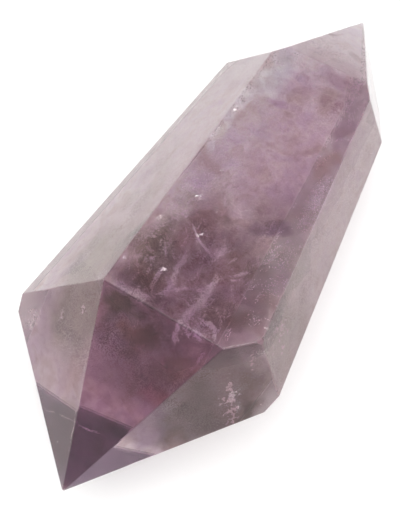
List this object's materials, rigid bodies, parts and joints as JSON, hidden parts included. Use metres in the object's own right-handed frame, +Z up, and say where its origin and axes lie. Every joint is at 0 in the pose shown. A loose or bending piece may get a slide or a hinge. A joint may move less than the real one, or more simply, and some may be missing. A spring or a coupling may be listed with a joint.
{
  "type": "double terminated amethyst",
  "caption": "Polished six-sided amethyst crystal with a point at each end, lying on one long face.",
  "frame": {"origin": "on the ground, under the middle of the crystal's box as it lies on its bottom prism face", "axes": "+Z up, +Y along the crystal from its wide point to its slim point, +X to the right as seen from the wide point"},
  "size_m": [0.0412, 0.089, 0.0353],
  "materials": {
    "amethyst": "polished"
  },
  "bodies": {
    "root": {"amethyst_crystal": "amethyst"}
  },
  "joints": []
}
